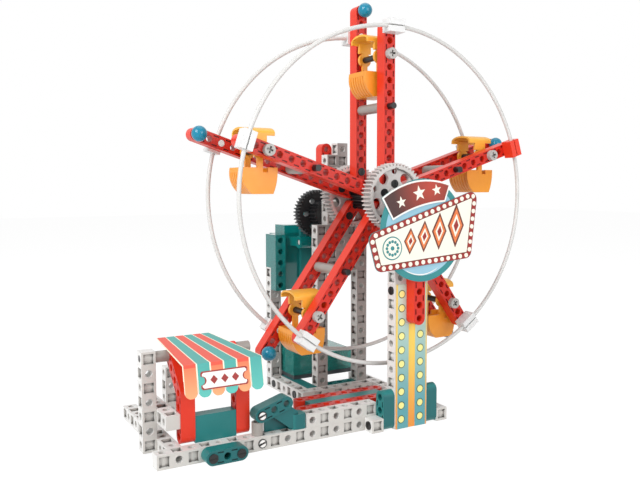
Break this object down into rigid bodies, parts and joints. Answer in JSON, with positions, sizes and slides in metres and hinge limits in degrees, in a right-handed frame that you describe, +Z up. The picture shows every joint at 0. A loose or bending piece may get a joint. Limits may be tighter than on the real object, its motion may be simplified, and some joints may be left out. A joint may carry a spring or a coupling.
{
  "type": "motorised construction-kit ferris wheel toy",
  "caption": "Construction-kit ferris wheel of pinned beams with hanging gondolas, a geared hub, a worm-driven motor tower, a bulb-strip post and a striped ticket booth.",
  "frame": {"origin": "centre of the footprint box on the floor", "axes": "+X to the right along the front beam, +Y from the sign towards the motor tower and along the wheel axle, +Z up"},
  "size_m": [0.3434, 0.1886, 0.3308],
  "materials": {
    "white_plastic": "injection moulded ABS, semi-gloss",
    "red_plastic": "injection moulded ABS, semi-gloss",
    "teal_plastic": "injection moulded ABS, semi-gloss",
    "black_plastic": "moulded, satin",
    "grey_plastic": "moulded, satin",
    "light_grey_plastic": "moulded, semi-gloss",
    "dark_plastic": "moulded, satin",
    "clear_teal_plastic": "translucent moulding",
    "ring_tube": "flexible extruded tube",
    "blue_plastic": "moulded, glossy",
    "orange_plastic": "moulded, semi-gloss",
    "worm_plastic": "moulded, satin",
    "printed_card": "die-cut printed card, laminated"
  },
  "bodies": {
    "frame": {"front_beam": "white_plastic", "front_upper_beam": "white_plastic", "left_base_beam": "white_plastic", "rear_left_column": "white_plastic", "booth_column": "white_plastic", "booth_rail": "white_plastic", "booth_arms": "red_plastic", "booth_shaft": "black_plastic", "front_spacers": "grey_plastic", "booth_counter": "teal_plastic", "booth_roof": "printed_card", "front_connector": "teal_plastic", "ramp_bracket": "teal_plastic", "ramp_rods": "red_plastic", "ramp_plate": "teal_plastic", "post_columns": "white_plastic", "post_core_beam": "white_plastic", "small_beams": "white_plastic", "post_braces": "teal_plastic", "strip_card": "printed_card", "axle_riser": "red_plastic", "sign_card": "printed_card", "tower_cross_beam": "white_plastic", "tower_left_beam": "white_plastic", "tower_right_beam": "white_plastic", "tower_rail": "teal_plastic", "tower_foot_rod": "teal_plastic", "tower_column_left": "white_plastic", "tower_column_right": "white_plastic", "tower_column_centre": "white_plastic", "tower_step_beams": "white_plastic", "tower_rods": "red_plastic", "rear_column": "white_plastic", "motor_case": "clear_teal_plastic", "motor_core": "dark_plastic", "motor_cover": "dark_plastic", "gear_bearing": "dark_plastic", "battery_case": "clear_teal_plastic", "battery_base": "black_plastic", "joint_pins": "black_plastic"},
    "wheel": {"front_spokes": "red_plastic", "rear_spokes": "red_plastic", "rings": "ring_tube", "ring_clips": "white_plastic", "spoke_spacers": "grey_plastic", "spoke_pins": "black_plastic", "ball_caps": "blue_plastic", "hub_gear": "light_grey_plastic", "rear_hub_gear": "light_grey_plastic", "hub_core": "black_plastic", "wheel_axle": "black_plastic", "axle_gear": "light_grey_plastic", "gondola_shafts": "black_plastic"},
    "gondola_1": {"gondola_1": "orange_plastic"},
    "gondola_2": {"gondola_2": "orange_plastic"},
    "gondola_3": {"gondola_3": "orange_plastic"},
    "gondola_4": {"gondola_4": "orange_plastic"},
    "gondola_5": {"gondola_5": "orange_plastic"},
    "idler": {"idler_gears": "dark_plastic"},
    "worm": {"worm": "worm_plastic"}
  },
  "joints": [
    {"name": "wheel_spin", "type": "hinge", "parent": "frame", "child": "wheel", "pos_m": [0.02327, -0.0277, 0.175], "axis": [0, 1, 0], "continuous": true},
    {"name": "gondola_1_swing", "type": "hinge", "parent": "wheel", "child": "gondola_1", "pos_m": [0.02327, -0.0277, 0.285], "axis": [0, 1, 0], "continuous": true},
    {"name": "gondola_2_swing", "type": "hinge", "parent": "wheel", "child": "gondola_2", "pos_m": [-0.08135, -0.0277, 0.20899], "axis": [0, 1, 0], "continuous": true},
    {"name": "gondola_3_swing", "type": "hinge", "parent": "wheel", "child": "gondola_3", "pos_m": [-0.04139, -0.0277, 0.08601], "axis": [0, 1, 0], "continuous": true},
    {"name": "gondola_4_swing", "type": "hinge", "parent": "wheel", "child": "gondola_4", "pos_m": [0.08793, -0.0277, 0.08601], "axis": [0, 1, 0], "continuous": true},
    {"name": "gondola_5_swing", "type": "hinge", "parent": "wheel", "child": "gondola_5", "pos_m": [0.12789, -0.0277, 0.20899], "axis": [0, 1, 0], "continuous": true},
    {"name": "idler_spin", "type": "hinge", "parent": "frame", "child": "idler", "pos_m": [0.01127, 0.0423, 0.159], "axis": [0, 1, 0], "continuous": true},
    {"name": "worm_spin", "type": "hinge", "parent": "frame", "child": "worm", "pos_m": [0.01127, 0.0423, 0.134], "axis": [1, 0, 0], "continuous": true}
  ],
  "couplings": [
    {"joint": "gondola_1_swing", "follows": "wheel_spin", "ratio": -1},
    {"joint": "gondola_2_swing", "follows": "wheel_spin", "ratio": -1},
    {"joint": "gondola_3_swing", "follows": "wheel_spin", "ratio": -1},
    {"joint": "gondola_4_swing", "follows": "wheel_spin", "ratio": -1},
    {"joint": "gondola_5_swing", "follows": "wheel_spin", "ratio": -1},
    {"joint": "idler_spin", "follows": "wheel_spin", "ratio": -1},
    {"joint": "worm_spin", "follows": "wheel_spin", "ratio": -40}
  ]
}
